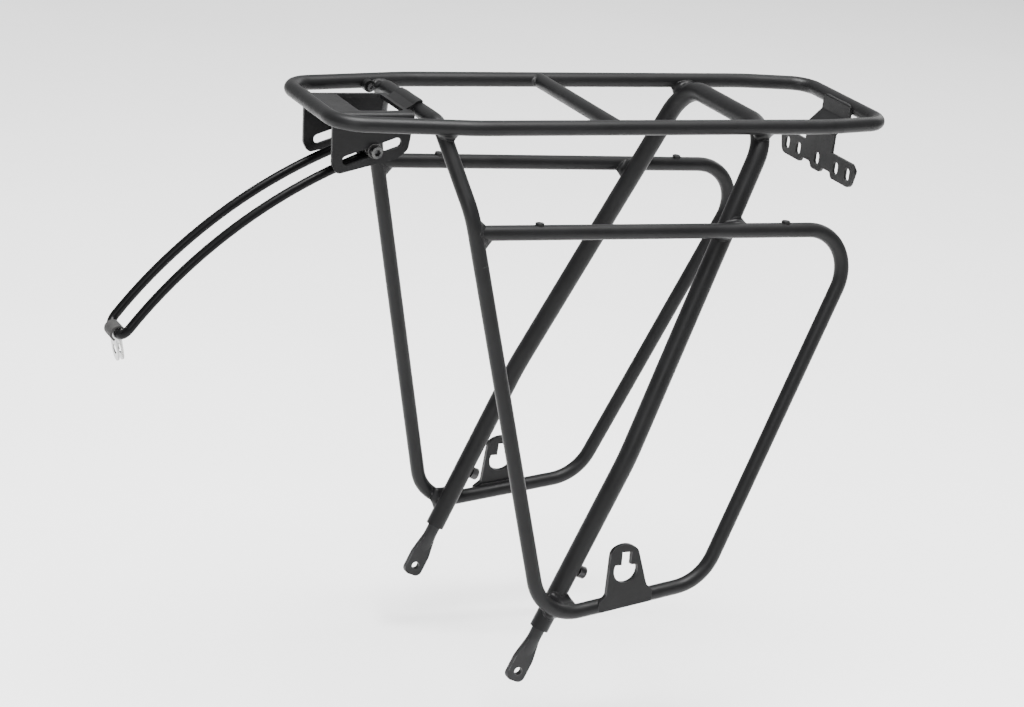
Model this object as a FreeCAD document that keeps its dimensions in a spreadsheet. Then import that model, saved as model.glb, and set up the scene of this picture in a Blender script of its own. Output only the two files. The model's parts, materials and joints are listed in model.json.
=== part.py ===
import FreeCAD, Part
import math
import os
import Sketcher

# Rear pannier rack for a bicycle, in millimetres.
# +X is the direction of travel, +Y the rider's left, +Z up.
# The origin is midway between the two eyelets that bolt to the frame's dropouts.

os.makedirs("parts", exist_ok=True)
doc = FreeCAD.newDocument("rear_rack")
vec = FreeCAD.Vector

DRIVING = [
    # tubes, and the strut hoop with its two bends a side
    ("tube_od", 10.0), ("tube_bore", 7.0),
    ("strut_od", 13.0), ("strut_bore", 9.12), ("strut_lean", 22.5), ("strut_half_gap", 87.2),
    ("strut_foot_cut", 32.5), ("strut_knee_height", 150.0), ("strut_top_height", 366.5),
    ("strut_top_half", 57.0), ("strut_top_bend", 26.0), ("strut_knee_bend", 150.0),
    # deck
    ("deck_height", 369.0), ("deck_front", 151.8), ("deck_rear", -246.0),
    ("deck_front_half", 47.6), ("deck_rail_half", 59.6), ("deck_rear_half", 51.5),
    ("deck_taper_start", 63.0), ("deck_taper_end", -197.0),
    ("deck_front_bend", 20.0), ("deck_rear_bend", 16.0), ("deck_taper_bend", 120.0),
    ("crossbar_place", -37.0),
    # joint between each leg and its pannier rail, and the plane of each side loop
    ("joint_x", 66.0), ("joint_half", 80.6), ("joint_height", 306.8),
    ("leg_slope", 0.272), ("loop_lean", 4.3), ("loop_toe", 0.9),
    # front arch
    ("arch_height", 368.4), ("arch_corner_half", 45.9), ("arch_bend", 16.0),
    ("arch_knee_bend", 40.0), ("arch_knee_rise", 11.5), ("arch_stub", 22.0),
    # side loops
    ("loop_front_bottom_x", -6.0), ("loop_front_bottom_z", 42.0),
    ("loop_rear_bottom_x", -127.2), ("loop_rear_bottom_z", 59.3),
    ("loop_rear_top_x", -226.4), ("loop_rear_top_z", 302.0),
    ("loop_front_bend", 32.0), ("loop_rear_bend", 34.0), ("loop_top_bend", 30.0),
    # keyhole plates
    ("plate_thick", 3.5), ("plate_place", -66.5), ("plate_half", 15.0), ("plate_flare", 5.0),
    ("plate_flare_rise", 4.4), ("plate_lap", 3.2), ("plate_lap_round", 1.5),
    ("plate_front_neck", 8.0), ("plate_rear_neck", 10.0),
    ("plate_front_shoulder", 14.0), ("plate_front_rise", 40.0), ("plate_crown", 2.5),
    ("plate_crown_rise", 43.5), ("plate_rear_shoulder", 6.3), ("plate_rear_rise", 37.0),
    ("plate_front_fillet", 3.0), ("plate_rear_fillet", 6.0), ("plate_corner", 7.0),
    ("plate_crown_round", 14.0),
    ("keyhole_shift", 2.0), ("keyhole_rise", 23.3), ("keyhole_round", 9.0),
    ("keyhole_shoulder", 3.7), ("keyhole_slot", 7.2), ("keyhole_slot_rise", 36.0),
    # stops on the pannier rails
    ("stop_front", 21.0), ("stop_rear", -163.5), ("stop_dia", 5.8), ("stop_rise", 1.5),
    ("stop_round", 0.6),
    # light bracket
    ("light_plate_x", -230.0), ("light_plate_thick", 2.0), ("light_row_height", 329.5),
    ("light_neck_width", 35.0), ("light_neck_bend_height", 351.0), ("light_neck_joint_height", 360.0),
    ("light_neck_top_height", 370.5), ("light_neck_embed", 0.6), ("light_neck_bend", 3.0),
    ("light_slot_width", 6.0), ("light_slot_length", 9.0),
    ("light_inner_pitch", 50.0), ("light_outer_pitch", 80.0),
    ("wing_high", 8.7), ("wing_low", 8.4), ("wing_waist", 4.6), ("wing_tip_drop", 3.5),
    ("wing_top_half", 44.5), ("wing_tip_half", 49.6), ("wing_low_half", 45.6),
    ("wing_step_half", 20.5), ("wing_waist_half", 18.6), ("wing_tab_waist_half", 8.6),
    ("wing_tab_half", 5.6), ("wing_round", 3.0), ("wing_tip_round", 6.0), ("wing_inner_round", 2.5),
    # stay bracket
    ("bracket_thick", 2.5), ("bracket_half", 26.0), ("bracket_top", 369.6),
    ("bracket_front", 146.8), ("bracket_rear", 91.0), ("bracket_depth", 40.0),
    ("bracket_inner_bend", 1.1), ("flange_nose_z", 367.1),
    ("flange_front_x", 144.4), ("flange_front_z", 336.0), ("flange_front_round", 6.0),
    ("flange_low_x", 140.6), ("flange_low_z", 329.6), ("flange_low_round", 4.0),
    ("flange_rear_x", 100.5), ("flange_rear_z", 339.6), ("flange_rear_round", 7.0),
    ("flange_heel_x", 93.2), ("flange_heel_z", 345.5), ("flange_heel_round", 6.0),
    ("wrap_thick", 1.7), ("wrap_gap", 0.05), ("wrap_half", 16.0), ("wrap_start", 38.0),
    ("wrap_end", 92.0), ("wrap_lap", 2.2),
    ("window_front", 127.0), ("window_rear", 96.0), ("window_half", 20.0), ("window_round", 2.5),
    ("slot_width", 6.4), ("slot_front_x", 134.5), ("slot_front_z", 338.7),
    ("slot_rear_x", 101.5), ("slot_rear_z", 350.2),
    # clamping bolts, washers, spacers and nuts
    ("bolt_x", 116.5), ("bolt_dia", 5.0), ("bolt_head_dia", 7.6), ("bolt_head_height", 4.0),
    ("bolt_socket", 4.0), ("bolt_socket_depth", 2.5), ("bolt_end", 1.2),
    ("washer_dia", 9.4), ("washer_thick", 1.0), ("clamp_clearance", 0.3),
    ("nut_across", 8.0), ("nut_thick", 4.7),
    # stay and its clip
    ("stay_dia", 6.0), ("stay_half", 14.3), ("stay_drop", 20.5),
    ("stay_bow", 333.6), ("stay_bow_turn", 34.0), ("stay_end_bend", 7.5), ("stay_end_lap", 0.5),
    ("stay_eye_end", -15.0), ("eye_foot", 270.0),
    ("running_clearance", 0.06),
    ("clip_thick", 0.9), ("clip_width", 12.4), ("clip_gap_half", 1.1), ("clip_tilt", 12.0),
    ("clip_hole_drop", 12.2), ("clip_hole_dia", 6.4), ("clip_length", 20.0),
    ("jacket_thick", 1.3), ("jacket_width", 13.2), ("jacket_opening", 52.0),
    # telescoping feet and the screws that hold them
    ("foot_rod_dia", 9.0), ("foot_rod_top", 130.0), ("foot_forge_top", 26.0), ("foot_forge_end", 11.0),
    ("foot_width", 14.0), ("foot_thick", 4.0), ("foot_tip", 7.5), ("foot_hole_dia", 5.8),
    ("foot_edge_round", 4.5), ("foot_shoulder_round", 9.0), ("foot_shoulder", 9.0),
    ("foot_neck_half", 4.1), ("foot_neck", 24.0), ("foot_flat_depth", 0.9), ("foot_flat_foot", 34.0),
    ("foot_blend_width", 12.8), ("foot_blend_thick", 3.6),
    ("screw_height", 78.5), ("screw_dia", 5.0), ("screw_head_dia", 8.5), ("screw_head_height", 5.0),
    ("screw_socket", 4.0), ("screw_socket_depth", 2.5), ("screw_tip_clearance", 0.3),
    # bosses inside the deck rails
    ("boss_x", 92.2), ("boss_z", 367.5), ("boss_dia", 8.0), ("boss_inner", 46.0),
    ("boss_screw_dia", 3.0), ("boss_screw_head_dia", 5.0), ("boss_screw_head_height", 2.2),
    ("boss_screw_socket", 2.5), ("boss_screw_socket_depth", 1.4), ("boss_screw_length", 4.2),
    ("boss_thread_depth", 4.6),
]

sheet = doc.addObject("Spreadsheet::Sheet", "dimensions")
for row, (alias, value) in enumerate(DRIVING, start=1):
    sheet.set("A%d" % row, alias)
    sheet.set("B%d" % row, str(value))
    sheet.setAlias("B%d" % row, alias)
doc.recompute()


def dim(alias):
    """The value of one driving dimension."""
    return float(sheet.get(alias))


def cell(alias):
    """The expression that reads one driving dimension."""
    return "dimensions." + alias


def new_body(label, base=vec(0, 0, 0), turn=None):
    body = doc.addObject("PartDesign::Body", label)
    body.Label = label
    body.Placement = FreeCAD.Placement(base, turn or FreeCAD.Rotation())
    return body


def origin_plane(body, role):
    return [item for item in body.Origin.OriginFeatures if item.Role == role][0]


def new_sketch(body, role, name, offset=None):
    """A sketch on one of the body's own origin planes, with an optional offset in that plane's frame."""
    sketch = body.newObject("Sketcher::SketchObject", name)
    sketch.AttachmentSupport = [(origin_plane(body, role), "")]
    sketch.MapMode = "FlatFace"
    if offset:
        sketch.AttachmentOffset = offset
    return sketch


def polyline_with_bends(points, bends):
    """Straight runs joined by tangent arcs; bends holds one radius for each inner point."""
    edges = []
    here = points[0]
    for index in range(1, len(points) - 1):
        corner = points[index]
        back = (points[index - 1] - corner).normalize()
        ahead = (points[index + 1] - corner).normalize()
        half_angle = back.getAngle(ahead) / 2
        radius = bends[index - 1]
        reach = radius / math.tan(half_angle)
        start = corner + back * reach
        finish = corner + ahead * reach
        bisector = (back + ahead).normalize()
        middle = corner + bisector * (radius / math.sin(half_angle) - radius)
        if (start - here).Length > 1e-6:
            edges.append(Part.LineSegment(here, start))
        edges.append(Part.Arc(start, middle, finish))
        here = finish
    edges.append(Part.LineSegment(here, points[-1]))
    return edges


def closed_outline(points, bends):
    """A closed outline with a radius at each corner, 0 for a sharp one."""
    count = len(points)
    edges = []
    ends = []
    for index, corner in enumerate(points):
        radius = bends[index]
        if radius == 0:
            ends.append((corner, None, corner))
            continue
        back = (points[index - 1] - corner).normalize()
        ahead = (points[(index + 1) % count] - corner).normalize()
        half_angle = back.getAngle(ahead) / 2
        reach = radius / math.tan(half_angle)
        bisector = (back + ahead).normalize()
        middle = corner + bisector * (radius / math.sin(half_angle) - radius)
        ends.append((corner + back * reach, middle, corner + ahead * reach))
    for index in range(count):
        start, middle, finish = ends[index]
        if middle is not None:
            edges.append(Part.Arc(start, middle, finish))
        following = ends[(index + 1) % count][0]
        if (following - finish).Length > 1e-6:
            edges.append(Part.LineSegment(finish, following))
    return edges


def add_circle(sketch, centre, alias):
    """A circle whose diameter is bound to one cell."""
    index = sketch.addGeometry(Part.Circle(centre, vec(0, 0, 1), dim(alias) / 2), False)
    sketch.addConstraint(Sketcher.Constraint("DistanceX", -1, 1, index, 3, centre.x))
    sketch.addConstraint(Sketcher.Constraint("DistanceY", -1, 1, index, 3, centre.y))
    number = sketch.addConstraint(Sketcher.Constraint("Diameter", index, dim(alias)))
    sketch.setExpression("Constraints[%d]" % number, cell(alias))


def bent_tube(body, role, points, bends, start_frame, outer, bore):
    """A hollow tube along a planar path: start_frame places the ring on its own origin plane."""
    path = new_sketch(body, role, body.Label + "_path")
    path.addGeometry(polyline_with_bends(points, bends), False)
    ring_role, ring_offset = start_frame
    ring = new_sketch(body, ring_role, body.Label + "_ring", ring_offset)
    add_circle(ring, vec(0, 0, 0), outer)
    add_circle(ring, vec(0, 0, 0), bore)
    pipe = body.newObject("PartDesign::AdditivePipe", body.Label + "_pipe")
    pipe.Profile = ring
    pipe.Spine = (path, [""])
    pipe.Spine = path
    ring.Visibility = False
    path.Visibility = False
    doc.recompute()
    return pipe


def pad(body, sketch, length_alias, midplane=False, reverse=False):
    feature = body.newObject("PartDesign::Pad", sketch.Name + "_pad")
    feature.Profile = sketch
    feature.Midplane = midplane
    feature.Reversed = reverse
    feature.setExpression("Length", length_alias)
    doc.recompute()
    return feature


def pocket_through(body, sketch):
    """A pocket through everything both ways, checked to have removed material."""
    before = body.Shape.Volume
    feature = body.newObject("PartDesign::Pocket", sketch.Name + "_pocket")
    feature.Profile = sketch
    feature.Type = "ThroughAll"
    feature.Midplane = True
    doc.recompute()
    if not body.Shape.Volume < before - 0.1:
        raise ValueError(sketch.Name + " cuts nothing")
    return feature


def cut(label, base, tool):
    """One solid taken from another."""
    result = doc.addObject("Part::Cut", label)
    result.Base = base
    result.Tool = tool
    result.Label = label
    base.Label = label + "_blank"
    doc.recompute()
    return result


def cylinder(label, dia_alias, height_expression, centre, direction):
    """A plain cylinder: centre of its foot, and the direction it rises in."""
    item = doc.addObject("Part::Cylinder", label)
    item.Label = label
    item.setExpression("Radius", cell(dia_alias) + " / 2")
    item.setExpression("Height", height_expression)
    item.Placement = FreeCAD.Placement(centre, FreeCAD.Rotation(vec(0, 0, 1), direction))
    doc.recompute()
    return item


SIDES = (("left", 1), ("right", -1))
kept = []


def keep(item):
    kept.append(item)
    return item


# ---- deck loop: one closed tube, wide in the middle and drawn in at both ends ----

def make_deck_loop():
    body = new_body("deck_loop", vec(0, 0, dim("deck_height")))
    front, rear = dim("deck_front"), dim("deck_rear")
    half_path = [
        vec(front, 0, 0), vec(front, dim("deck_front_half"), 0),
        vec(dim("deck_taper_start"), dim("deck_rail_half"), 0),
        vec(dim("deck_taper_end"), dim("deck_rail_half"), 0),
        vec(rear, dim("deck_rear_half"), 0), vec(rear, 0, 0),
    ]
    bends = [dim("deck_front_bend"), dim("deck_taper_bend"), dim("deck_taper_bend"), dim("deck_rear_bend")]
    start = FreeCAD.Placement(vec(front, 0, 0), FreeCAD.Rotation())
    pipe = bent_tube(body, "XY_Plane", half_path, bends, ("XZ_Plane", start), "tube_od", "tube_bore")
    mirror = body.newObject("PartDesign::Mirrored", "deck_loop_mirror")
    mirror.Originals = [pipe]
    mirror.MirrorPlane = (origin_plane(body, "XZ_Plane"), [""])
    body.Tip = mirror
    doc.recompute()
    return body


# ---- side loops: leg, bottom rail, rear diagonal and pannier rail, one bent tube a side ----

def loop_turn(side):
    toe = FreeCAD.Rotation(vec(0, 0, 1), side * dim("loop_toe"))
    lean = FreeCAD.Rotation(vec(1, 0, 0), side * dim("loop_lean"))
    return toe.multiply(lean)


def loop_base(side):
    return vec(dim("joint_x"), side * dim("joint_half"), dim("joint_height"))


def loop_point(x, z):
    """A point of the loop's own plane, from the joint between leg and pannier rail."""
    across = (x - dim("joint_x")) / math.cos(math.radians(dim("loop_toe")))
    rise = (z - dim("joint_height")) / math.cos(math.radians(dim("loop_lean")))
    return vec(across, rise, 0)


def leg_in_loop_plane():
    """Direction of the leg, pointing up, in the loop's own plane."""
    foot = loop_point(dim("loop_front_bottom_x"), dim("loop_front_bottom_z"))
    return (foot * -1).normalize()


def loop_rod(label, side, foot, direction, length_expression):
    """A solid rod of the tube's own size along one straight run of a side loop, for coping."""
    turn = loop_turn(side)
    centre = loop_base(side) + turn.multVec(vec(foot.x, 0, foot.y))
    heading = turn.multVec(vec(direction.x, 0, direction.y))
    return cylinder(label, "tube_od", length_expression, centre, heading)


def make_side_loop(name, side):
    body = new_body(name + "_side_loop_tube", loop_base(side), loop_turn(side))
    leg = leg_in_loop_plane()
    start = leg * -dim("arch_stub")
    rear_top = loop_point(dim("loop_rear_top_x"), dim("loop_rear_top_z"))
    points = [
        start,
        loop_point(dim("loop_front_bottom_x"), dim("loop_front_bottom_z")),
        loop_point(dim("loop_rear_bottom_x"), dim("loop_rear_bottom_z")),
        rear_top,
        loop_point(dim("joint_x"), dim("joint_height")),
    ]
    bends = [dim("loop_front_bend"), dim("loop_rear_bend"), dim("loop_top_bend")]
    tilt = math.degrees(math.atan2(leg.x, leg.y))
    frame = FreeCAD.Placement(vec(start.x, 0, start.y), FreeCAD.Rotation(vec(0, 1, 0), tilt))
    bent_tube(body, "XZ_Plane", points, bends, ("XY_Plane", frame), "tube_od", "tube_bore")
    leg_rod = loop_rod(name + "_leg_rod", side, start, leg, "2 * " + cell("arch_stub"))
    return cut(name + "_side_loop_coped", body, leg_rod)


# ---- front arch: the cross tube and both upper legs, one bent tube ----

def make_front_arch():
    slope = math.atan(dim("leg_slope"))
    turn = FreeCAD.Rotation(vec(0, 1, 0), math.degrees(slope))
    body = new_body("front_arch", vec(dim("joint_x"), 0, dim("joint_height")), turn)
    top = (dim("arch_height") - dim("joint_height")) / math.cos(slope)
    leg = loop_turn(1).multVec(vec(leg_in_loop_plane().x, 0, leg_in_loop_plane().y))
    stub = leg * -dim("arch_stub")
    low = vec(dim("joint_half") + stub.y, -math.hypot(stub.x, stub.z), 0)
    along = (vec(dim("joint_half"), 0, 0) - low).normalize()
    knee = vec(dim("joint_half"), 0, 0) + along * dim("arch_knee_rise")
    corner = vec(dim("arch_corner_half"), top, 0)
    mirrored = [vec(-point.x, point.y, 0) for point in (corner, knee, low)]
    points = [low, knee, corner] + mirrored
    bends = [dim("arch_knee_bend"), dim("arch_bend"), dim("arch_bend"), dim("arch_knee_bend")]
    tilt = math.degrees(math.atan2(-along.x, along.y))
    frame = FreeCAD.Placement(vec(0, low.x, low.y), FreeCAD.Rotation(vec(1, 0, 0), tilt))
    bent_tube(body, "YZ_Plane", points, bends, ("XY_Plane", frame), "tube_od", "tube_bore")
    return body


# ---- strut hoop: two struts and the rear cross tube, one bent tube of a larger size ----

def lean_turn():
    return FreeCAD.Rotation(vec(0, 1, 0), -dim("strut_lean"))


def make_strut_hoop():
    body = new_body("strut_hoop_tube", vec(0, 0, 0), lean_turn())
    stretch = 1 / math.cos(math.radians(dim("strut_lean")))
    low = vec(dim("strut_half_gap"), dim("strut_foot_cut"), 0)
    knee = vec(dim("strut_half_gap"), dim("strut_knee_height") * stretch, 0)
    corner = vec(dim("strut_top_half"), dim("strut_top_height") * stretch, 0)
    mirrored = [vec(-point.x, point.y, 0) for point in (corner, knee, low)]
    bends = [dim("strut_knee_bend"), dim("strut_top_bend"), dim("strut_top_bend"), dim("strut_knee_bend")]
    frame = FreeCAD.Placement(vec(0, low.x, low.y), FreeCAD.Rotation())
    bent_tube(body, "YZ_Plane", [low, knee, corner] + mirrored, bends, ("XY_Plane", frame),
              "strut_od", "strut_bore")
    drills = doc.addObject("Part::MultiFuse", "screw_drills")
    drills.Shapes = [screw_hole(name, side) for name, side in SIDES]
    doc.recompute()
    return cut("strut_hoop", body, drills)


def screw_frame(side, height, back):
    """A point beside the strut's axis: height along the strut, back away from its centre line."""
    turn = lean_turn()
    point = turn.multVec(vec(-back, 0, height))
    return point + vec(0, side * dim("strut_half_gap"), 0), turn.multVec(vec(-1, 0, 0))


def screw_hole(name, side):
    centre, direction = screw_frame(side, dim("screw_height"), 0)
    return cylinder(name + "_screw_drill", "screw_dia", cell("strut_od"), centre, direction)


def hex_prism(label, across_alias, depth_expression, centre, direction):
    """A six-sided prism, sized across its flats."""
    prism = doc.addObject("Part::Prism", label)
    prism.Label = label
    prism.Polygon = 6
    prism.setExpression("Circumradius", cell(across_alias) + " / sqrt(3)")
    prism.setExpression("Height", depth_expression)
    prism.Placement = FreeCAD.Placement(centre, FreeCAD.Rotation(vec(0, 0, 1), direction))
    doc.recompute()
    return prism


def socket_screw(label, kind, shank_expression, seat, outward):
    """A socket-head screw: seat is the point under its head, outward the way its head faces."""
    head_height = kind + "_head_height"
    socket_depth = kind + "_socket_depth"
    shank = cylinder(label + "_shank", kind + "_dia", shank_expression, seat, outward * -1)
    head = cylinder(label + "_head", kind + "_head_dia", cell(head_height), seat, outward)
    blank = doc.addObject("Part::MultiFuse", label + "_solid")
    blank.Shapes = [shank, head]
    socket_foot = seat + outward * (dim(head_height) - dim(socket_depth))
    clear_depth = "2 * " + cell(socket_depth)
    socket = hex_prism(label + "_socket", kind + "_socket", clear_depth, socket_foot, outward)
    doc.recompute()
    return cut(label, blank, socket)


# ---- telescoping feet: a round rod forged flat into an eyelet ----

def make_foot(name, side):
    body = new_body(name + "_foot", vec(0, side * dim("strut_half_gap"), 0), lean_turn())
    forge_end, forge_top = dim("foot_forge_end"), dim("foot_forge_top")
    round_end = new_sketch(body, "XY_Plane", name + "_foot_round",
                           FreeCAD.Placement(vec(0, 0, forge_top), FreeCAD.Rotation()))
    add_circle(round_end, vec(0, 0, 0), "foot_rod_dia")
    pad(body, round_end, cell("foot_rod_top") + " - " + cell("foot_forge_top"))
    flat_end = new_sketch(body, "XY_Plane", name + "_foot_flat",
                          FreeCAD.Placement(vec(0, 0, forge_end), FreeCAD.Rotation()))
    blend = Part.Ellipse(vec(0, 0, 0), dim("foot_blend_width") / 2, dim("foot_blend_thick") / 2)
    flat_end.addGeometry(blend, False)
    loft = body.newObject("PartDesign::AdditiveLoft", name + "_foot_forging")
    loft.Profile = round_end
    loft.Sections = [flat_end]
    doc.recompute()
    paddle = new_sketch(body, "XZ_Plane", name + "_foot_paddle")
    half, tip, shoulder = dim("foot_width") / 2, -dim("foot_tip"), dim("foot_shoulder")
    neck, neck_height = dim("foot_neck_half"), dim("foot_neck")
    outline = [vec(neck, neck_height, 0), vec(-neck, neck_height, 0), vec(-half, shoulder, 0),
               vec(-half, tip, 0), vec(half, tip, 0), vec(half, shoulder, 0)]
    broad, tight = dim("foot_shoulder_round"), dim("foot_edge_round")
    paddle.addGeometry(closed_outline(outline, [0, 0, broad, tight, tight, broad]), False)
    pad(body, paddle, cell("foot_thick"), midplane=True)
    hole = new_sketch(body, "XZ_Plane", name + "_foot_hole")
    add_circle(hole, vec(0, 0, 0), "foot_hole_dia")
    pocket_through(body, hole)
    flat = new_sketch(body, "XZ_Plane", name + "_foot_rod_flat")
    flat_x = dim("foot_flat_depth") - dim("foot_rod_dia") / 2
    clear_x, flat_low, flat_high = -dim("foot_rod_dia"), dim("foot_flat_foot"), 2 * dim("foot_rod_top")
    flat_outline = [vec(clear_x, flat_low, 0), vec(flat_x, flat_low, 0),
                    vec(flat_x, flat_high, 0), vec(clear_x, flat_high, 0)]
    flat.addGeometry(closed_outline(flat_outline, [0, 0, 0, 0]), False)
    pocket_through(body, flat)
    return body


def make_foot_screw(name, side):
    seat, outward = screw_frame(side, dim("screw_height"), dim("strut_od") / 2)
    shank = "(%s - %s) / 2 + %s - %s" % (cell("strut_od"), cell("foot_rod_dia"), cell("foot_flat_depth"),
                                         cell("screw_tip_clearance"))
    return socket_screw(name + "_foot_screw", "screw", shank, seat, outward)


# ---- crossbar between the deck rails ----

def make_crossbar():
    place, height = dim("crossbar_place"), dim("deck_height")
    body = new_body("deck_crossbar_tube", vec(place, 0, height))
    ring = new_sketch(body, "XZ_Plane", "deck_crossbar_ring")
    add_circle(ring, vec(0, 0, 0), "tube_od")
    add_circle(ring, vec(0, 0, 0), "tube_bore")
    pad(body, ring, "2 * " + cell("deck_rail_half"), midplane=True)
    rods = doc.addObject("Part::MultiFuse", "crossbar_rods")
    foot_x = place - dim("tube_od")
    rods.Shapes = [cylinder(name + "_crossbar_rod", "tube_od", "2 * " + cell("tube_od"),
                            vec(foot_x, side * dim("deck_rail_half"), height), vec(1, 0, 0))
                   for name, side in SIDES]
    doc.recompute()
    return cut("deck_crossbar", body, rods)


# ---- keyhole plates on the bottom rails ----

def bottom_rail_height(x):
    """Height of the bottom rail's axis at x."""
    x1, z1 = dim("loop_front_bottom_x"), dim("loop_front_bottom_z")
    x2, z2 = dim("loop_rear_bottom_x"), dim("loop_rear_bottom_z")
    return z1 + (z2 - z1) * (x - x1) / (x2 - x1)


def make_keyhole_plate(name, side):
    """A plate let into the outer face of the bottom rail, with a keyhole for a pannier's stud."""
    body = new_body(name + "_pannier_plate", loop_base(side), loop_turn(side))
    foot_x = dim("plate_place")
    foot_z = bottom_rail_height(foot_x)
    rail_slope = bottom_rail_height(foot_x + 1) - foot_z
    outset = (dim("tube_od") - dim("plate_thick")) / 2
    face = FreeCAD.Placement(vec(0, 0, -side * outset), FreeCAD.Rotation())

    def at(across, up):
        return loop_point(foot_x + across, foot_z + rail_slope * across + up)

    half, flare = dim("plate_half"), dim("plate_flare")
    lap, flare_rise = -dim("plate_lap"), dim("plate_flare_rise")
    outline = [
        at(half + flare, flare_rise), at(half, dim("plate_front_neck")),
        at(dim("plate_front_shoulder"), dim("plate_front_rise")),
        at(dim("plate_crown"), dim("plate_crown_rise")),
        at(-dim("plate_rear_shoulder"), dim("plate_rear_rise")),
        at(-half, dim("plate_rear_neck")), at(-half - flare, flare_rise),
        at(-half - flare, lap), at(half + flare, lap),
    ]
    corner, lap_round = dim("plate_corner"), dim("plate_lap_round")
    rounds = [0, dim("plate_front_fillet"), corner, dim("plate_crown_round"), corner,
              dim("plate_rear_fillet"), 0, lap_round, lap_round]
    plate = new_sketch(body, "XZ_Plane", name + "_plate_outline", face)
    plate.addGeometry(closed_outline(outline, rounds), False)
    pad(body, plate, cell("plate_thick"), midplane=True)
    keyhole = new_sketch(body, "XZ_Plane", name + "_keyhole")
    radius, shoulder = dim("keyhole_round"), dim("keyhole_shoulder")
    half_slot = dim("keyhole_slot") / 2
    half_chord = math.sqrt(radius ** 2 - shoulder ** 2)
    centre_x, centre_z = foot_x + dim("keyhole_shift"), foot_z + dim("keyhole_rise")
    slot_top = foot_z + dim("keyhole_slot_rise") - centre_z

    def place(across, up):
        return loop_point(centre_x + across, centre_z + up)

    corners = [place(-half_chord, shoulder), place(-half_slot, shoulder), place(-half_slot, slot_top),
               place(half_slot, slot_top), place(half_slot, shoulder), place(half_chord, shoulder)]
    sides = [Part.LineSegment(first, second) for first, second in zip(corners, corners[1:])]
    keyhole.addGeometry([Part.Arc(corners[-1], place(0, -radius), corners[0])] + sides, False)
    pocket_through(body, keyhole)
    return body


# ---- small stops on top of the pannier rails ----

def make_stop(label, side, x, loop):
    along = (x - dim("joint_x")) / (dim("loop_rear_top_x") - dim("joint_x"))
    point = loop_point(dim("loop_rear_top_x"), dim("loop_rear_top_z")) * along
    turn = loop_turn(side)
    foot = loop_base(side) + turn.multVec(vec(point.x, 0, point.y))
    up = turn.multVec(vec(0, 0, 1))
    lift = (dim("tube_od") + dim("tube_bore")) / 4
    height = "%s / 2 + %s - %s" % (cell("tube_od"), cell("stop_rise"), lift)
    pin = cylinder(label + "_pin", "stop_dia", height, foot + up * lift, up)
    rounded = doc.addObject("Part::Fillet", label + "_rounded")
    rounded.Base = pin
    top_edges = [number for number, edge in enumerate(pin.Shape.Edges, start=1)
                 if edge.Closed and (edge.CenterOfMass - foot).dot(up) > dim("tube_od") / 2]
    rounded.Edges = [(number, dim("stop_round"), dim("stop_round")) for number in top_edges]
    doc.recompute()
    return cut(label, rounded, loop)


# ---- light bracket: a plate on a stepped neck under the deck's rear tube ----

def upright_slot(centre_y, centre_z, half_width, half_straight):
    """Outline of an upright slot with round ends."""
    left, right = centre_y - half_width, centre_y + half_width
    low, high = centre_z - half_straight, centre_z + half_straight
    return [
        Part.Arc(vec(right, high, 0), vec(centre_y, high + half_width, 0), vec(left, high, 0)),
        Part.LineSegment(vec(left, high, 0), vec(left, low, 0)),
        Part.Arc(vec(left, low, 0), vec(centre_y, low - half_width, 0), vec(right, low, 0)),
        Part.LineSegment(vec(right, low, 0), vec(right, high, 0)),
    ]


def make_light_bracket(deck):
    body = new_body("light_bracket_blank")
    front, thick, row_height = dim("light_plate_x"), dim("light_plate_thick"), dim("light_row_height")
    bend_height, joint_height = dim("light_neck_bend_height"), dim("light_neck_joint_height")
    top_height, bend = dim("light_neck_top_height"), dim("light_neck_bend")
    back = dim("deck_rear") + dim("tube_od") / 2 - dim("light_neck_embed")
    drop = thick * math.tan(math.atan2(front - thick - back, joint_height - bend_height) / 2)
    side = new_sketch(body, "XZ_Plane", "light_bracket_side")
    side.addGeometry(closed_outline(
        [vec(front - thick, row_height, 0), vec(front, row_height, 0), vec(front, bend_height + drop, 0),
         vec(back + thick, joint_height + drop, 0), vec(back + thick, top_height, 0),
         vec(back, top_height, 0), vec(back, joint_height, 0), vec(front - thick, bend_height, 0)],
        [0, 0, bend, bend - thick, 0, 0, bend, bend - thick]), False)
    pad(body, side, cell("light_neck_width"), midplane=True)
    wing = new_sketch(body, "YZ_Plane", "light_bracket_wing",
                      FreeCAD.Placement(vec(0, 0, front - thick), FreeCAD.Rotation()))
    high, low = row_height + dim("wing_high"), row_height - dim("wing_low")
    waist = row_height - dim("wing_waist")
    right = [vec(dim("wing_tip_half"), high - dim("wing_tip_drop"), 0), vec(dim("wing_low_half"), low, 0),
             vec(dim("wing_step_half"), low, 0), vec(dim("wing_waist_half"), waist, 0),
             vec(dim("wing_tab_waist_half"), waist, 0), vec(dim("wing_tab_half"), low, 0)]
    left = [vec(-point.x, point.y, 0) for point in reversed(right)]
    top_right = vec(dim("wing_top_half"), high, 0)
    top_left = vec(-dim("wing_top_half"), high, 0)
    plain, tip, inner = dim("wing_round"), dim("wing_tip_round"), dim("wing_inner_round")
    rounds = [plain, plain, tip, plain, inner, inner, plain]
    wing.addGeometry(closed_outline([top_right] + right + left + [top_left], rounds + rounds[::-1]), False)
    pad(body, wing, cell("light_plate_thick"))
    holes = new_sketch(body, "YZ_Plane", "light_bracket_holes")
    half_width = dim("light_slot_width") / 2
    half_straight = dim("light_slot_length") / 2 - half_width
    inner_half, outer_half = dim("light_inner_pitch") / 2, dim("light_outer_pitch") / 2
    for across in (0, inner_half, -inner_half, outer_half, -outer_half):
        holes.addGeometry(upright_slot(across, row_height, half_width, half_straight), False)
    pocket_through(body, holes)
    return cut("light_bracket", body, deck)


# ---- stay bracket: folded sheet under the deck's nose, with a slotted flange each side ----

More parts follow.
